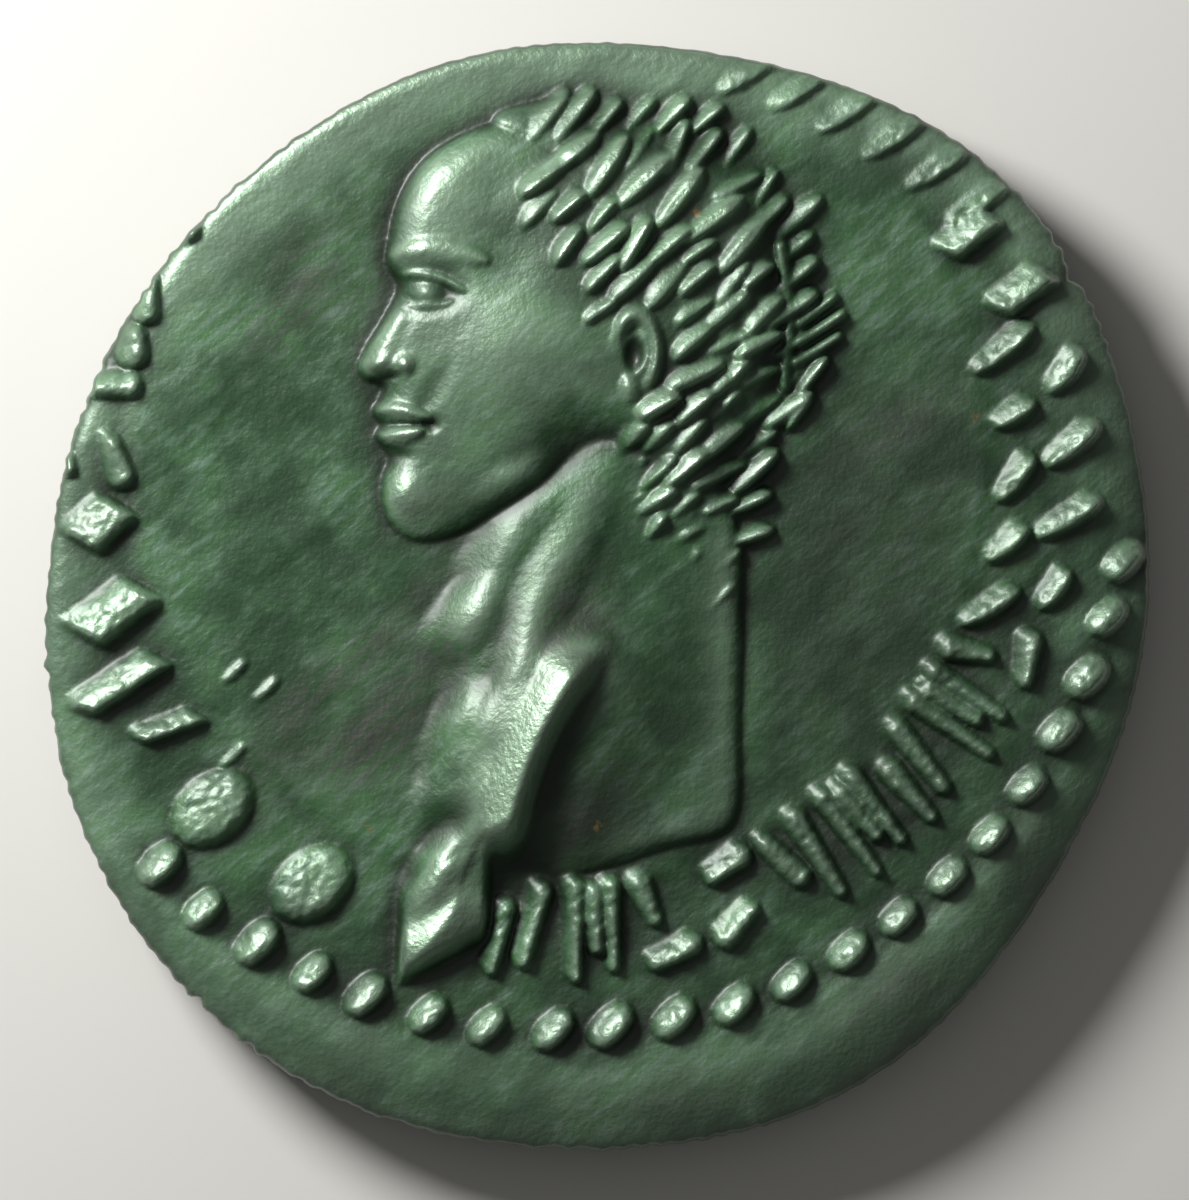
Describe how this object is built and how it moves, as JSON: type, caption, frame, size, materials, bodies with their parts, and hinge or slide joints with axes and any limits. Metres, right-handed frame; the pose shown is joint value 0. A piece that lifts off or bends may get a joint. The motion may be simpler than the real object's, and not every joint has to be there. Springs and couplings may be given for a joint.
{
  "type": "roman bronze coin",
  "caption": "Struck ancient bronze coin with a laurelled head facing left, off-centre beaded border, worn legend strokes and a green patina.",
  "frame": {"origin": "centre of the coin's plan box, in the plane that the coin rests on", "axes": "+Z out of the obverse, +Y towards the crown of the head, +X to the right as the obverse is seen"},
  "size_m": [0.0218, 0.0218, 0.0037],
  "materials": {
    "bronze": "smooth green patina over struck bronze, worn brighter on the high relief"
  },
  "bodies": {
    "root": {"coin": "bronze"}
  },
  "joints": []
}
